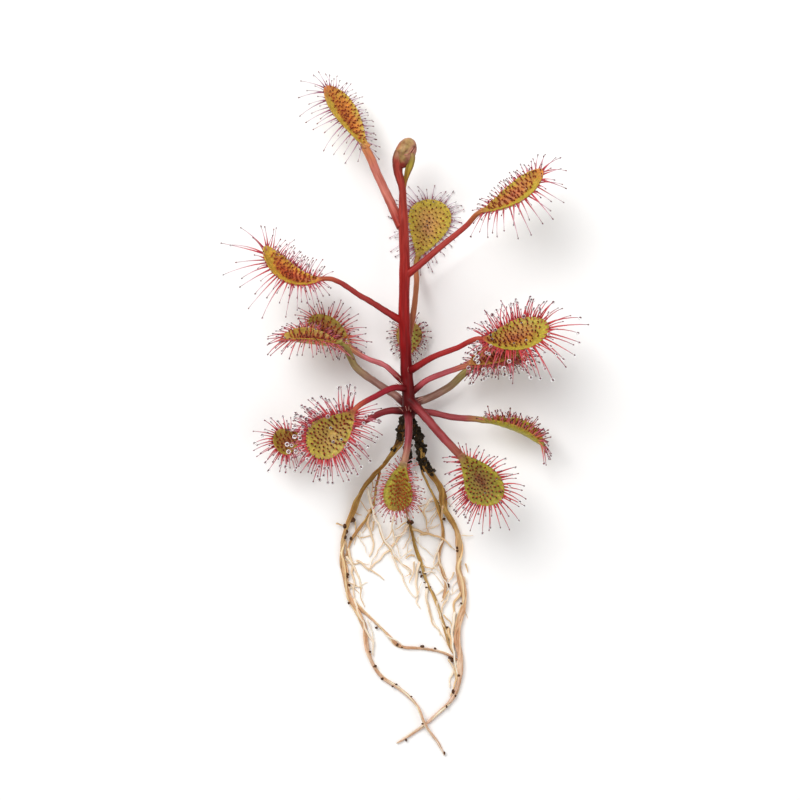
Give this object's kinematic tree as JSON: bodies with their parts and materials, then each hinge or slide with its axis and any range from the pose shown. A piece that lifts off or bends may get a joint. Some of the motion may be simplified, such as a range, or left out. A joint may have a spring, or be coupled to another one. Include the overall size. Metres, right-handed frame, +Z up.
{
  "type": "bare-root sundew plant",
  "caption": "Upright-stemmed sundew lifted with its roots and laid on its back: crimson stem, cupped olive leaves fringed with red gland-tipped tentacles, hooked young leaf, tan roots.",
  "frame": {"origin": "middle of the part's box, on the surface that the plant lies on", "axes": "+Z up from the surface, +Y up the stem to its tip, +X to the right seen from above"},
  "size_m": [0.0674, 0.1321, 0.0206],
  "materials": {
    "stem": "smooth living skin, crimson",
    "stalk": "smooth living skin, pink red",
    "olive_stalk": "smooth living skin, grey olive",
    "blade": "olive leaf with red tentacles and clear drops of mucilage",
    "young_leaf": "folded young leaf, olive mottled with red",
    "root": "tan root skin with crumbs of black soil"
  },
  "bodies": {
    "root": {"stem": "stem", "young_leaf_stalk": "stalk", "young_leaf_blade": "young_leaf", "leaf_01_stalk": "stalk", "leaf_01_blade": "blade", "leaf_02_stalk": "stalk", "leaf_02_blade": "blade", "leaf_03_stalk": "stalk", "leaf_03_blade": "blade", "leaf_04_stalk": "stalk", "leaf_04_blade": "blade", "leaf_05_stalk": "stalk", "leaf_05_blade": "blade", "leaf_06_stalk": "stalk", "leaf_06_blade": "blade", "leaf_07_stalk": "stalk", "leaf_07_blade": "blade", "leaf_08_stalk": "stalk", "leaf_08_blade": "blade", "leaf_09_stalk": "stalk", "leaf_09_blade": "blade", "leaf_10_stalk": "olive_stalk", "leaf_10_blade": "blade", "leaf_11_stalk": "olive_stalk", "leaf_11_blade": "blade", "leaf_12_stalk": "stalk", "leaf_12_blade": "blade", "leaf_13_stalk": "stalk", "leaf_13_blade": "blade", "leaf_14_stalk": "stalk", "leaf_14_blade": "blade", "leaf_15_stalk": "stalk", "leaf_15_blade": "blade", "root_left": "root", "root_left_strand": "root", "root_link": "root", "root_right": "root", "root_right_strand": "root", "root_centre": "root"}
  },
  "joints": []
}
